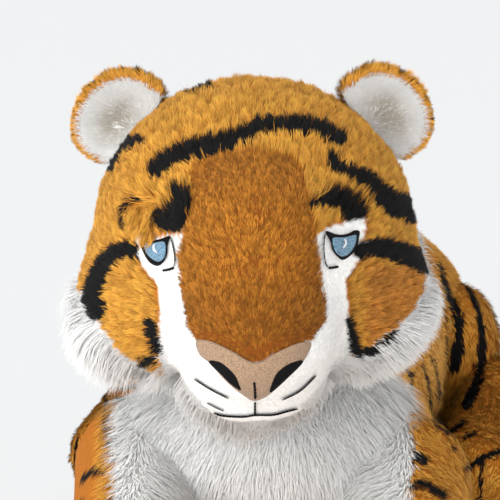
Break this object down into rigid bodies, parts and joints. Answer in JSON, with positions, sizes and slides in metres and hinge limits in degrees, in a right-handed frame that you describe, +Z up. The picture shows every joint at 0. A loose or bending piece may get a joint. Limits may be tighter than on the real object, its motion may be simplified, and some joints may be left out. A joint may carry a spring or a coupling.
{
  "type": "plush tiger",
  "caption": "Stuffed plush tiger lying on its belly, forelegs stretched forward, striped orange fur, white muzzle and chest, head turned to one side, a soft toy to hug.",
  "frame": {"origin": "middle of the belly's resting flat, on the floor", "axes": "+Z up, +Y along the trunk towards the tail, so the forepaws lie towards -Y, and +X to the tiger's own left, which is the viewer's right"},
  "size_m": [0.3904, 0.7474, 0.3249],
  "materials": {
    "orange_pile": "long plush pile, tawny orange with black stripes",
    "bridge_short_pile": "short plush pile, brownish orange",
    "white_pile": "plush pile, off-white",
    "white_long_pile": "long shaggy plush pile, off-white",
    "white_short_pile": "short plush pile, off-white",
    "black_pile": "plush pile, black",
    "nose_cloth": "short velvety cloth, pinkish beige",
    "black_thread": "embroidery thread, black",
    "blue_thread": "embroidery thread, denim blue",
    "white_thread": "embroidery thread, white",
    "filling": "polyester fibre filling"
  },
  "bodies": {
    "trunk": {"belly_panel": "white_pile", "chest_bib": "white_long_pile", "back_panel_left": "orange_pile", "back_panel_right": "orange_pile", "body_stuffing": "filling"},
    "neck": {"neck_stuffing": "filling"},
    "head": {"crown_panel": "orange_pile", "nape_panel": "orange_pile", "bridge_panel": "bridge_short_pile", "nose_pad": "nose_cloth", "chin_panel": "white_long_pile", "head_stuffing": "filling", "mouth_stitching": "black_thread", "face_white_left": "white_short_pile", "face_white_right": "white_short_pile", "cheek_left": "orange_pile", "cheek_right": "orange_pile", "ruff_left": "white_long_pile", "ruff_right": "white_long_pile", "brow_left": "black_pile", "brow_right": "black_pile", "eye_outline_left": "black_thread", "eye_outline_right": "black_thread", "iris_left": "blue_thread", "iris_right": "blue_thread", "eye_highlight_left": "white_thread", "eye_highlight_right": "white_thread", "tear_line_left": "black_thread", "tear_line_right": "black_thread", "nostril_left": "black_thread", "nostril_right": "black_thread", "whisker_stitching_left": "black_thread", "whisker_stitching_right": "black_thread"},
    "ear_left": {"ear_outer_left": "orange_pile", "ear_inner_left": "white_short_pile"},
    "foreleg_left": {"foreleg_skin_left": "orange_pile", "foreleg_underside_left": "white_pile", "foreleg_stuffing_left": "filling"},
    "hind_leg_left": {"thigh_skin_left": "orange_pile", "thigh_stuffing_left": "filling", "hind_paw_skin_left": "orange_pile", "hind_paw_stuffing_left": "filling"},
    "ear_right": {"ear_outer_right": "orange_pile", "ear_inner_right": "white_short_pile"},
    "foreleg_right": {"foreleg_skin_right": "orange_pile", "foreleg_underside_right": "white_pile", "foreleg_stuffing_right": "filling"},
    "hind_leg_right": {"thigh_skin_right": "orange_pile", "thigh_stuffing_right": "filling", "hind_paw_skin_right": "orange_pile", "hind_paw_stuffing_right": "filling"},
    "tail": {"tail_skin": "orange_pile", "tail_tip": "black_pile", "tail_stuffing": "filling"}
  },
  "joints": [
    {"name": "head_turn", "type": "hinge", "parent": "trunk", "child": "neck", "pos_m": [-0.01089, -0.15311, 0.16], "axis": [0, 0, 1], "range_deg": [-45, 25]},
    {"name": "head_nod", "type": "hinge", "parent": "neck", "child": "head", "pos_m": [-0.01089, -0.15311, 0.16], "axis": [0.9848, 0.1736, 0], "range_deg": [-12, 8]},
    {"name": "ear_fold_left", "type": "hinge", "parent": "head", "child": "ear_left", "pos_m": [-0.0815, -0.1884, 0.291], "axis": [0.6301, -0.0278, 0.776], "range_deg": [-15, 15], "stiffness_Nm_per_rad": 0.1},
    {"name": "ear_fold_right", "type": "hinge", "parent": "head", "child": "ear_right", "pos_m": [0.0676, -0.1622, 0.291], "axis": [0.5825, 0.2417, -0.776], "range_deg": [-15, 15], "stiffness_Nm_per_rad": 0.1},
    {"name": "foreleg_lift_left", "type": "hinge", "parent": "trunk", "child": "foreleg_left", "pos_m": [-0.08514, -0.14927, 0.05092], "axis": [-0.9877, -0.1564, 0], "range_deg": [0, 8]},
    {"name": "foreleg_lift_right", "type": "hinge", "parent": "trunk", "child": "foreleg_right", "pos_m": [0.08514, -0.14927, 0.05092], "axis": [-0.9877, -0.1564, 0], "range_deg": [0, 8]},
    {"name": "hind_leg_lift_left", "type": "hinge", "parent": "trunk", "child": "hind_leg_left", "pos_m": [-0.09207, 0.13019, 0.0515], "axis": [-1, 0, 0], "range_deg": [0, 8]},
    {"name": "hind_leg_lift_right", "type": "hinge", "parent": "trunk", "child": "hind_leg_right", "pos_m": [0.09207, 0.13019, 0.0515], "axis": [-1, 0, 0], "range_deg": [0, 8]},
    {"name": "tail_swing", "type": "hinge", "parent": "trunk", "child": "tail", "pos_m": [0, 0.22629, 0.062], "axis": [0, 0, 1], "range_deg": [-12, 12], "stiffness_Nm_per_rad": 0.3}
  ]
}
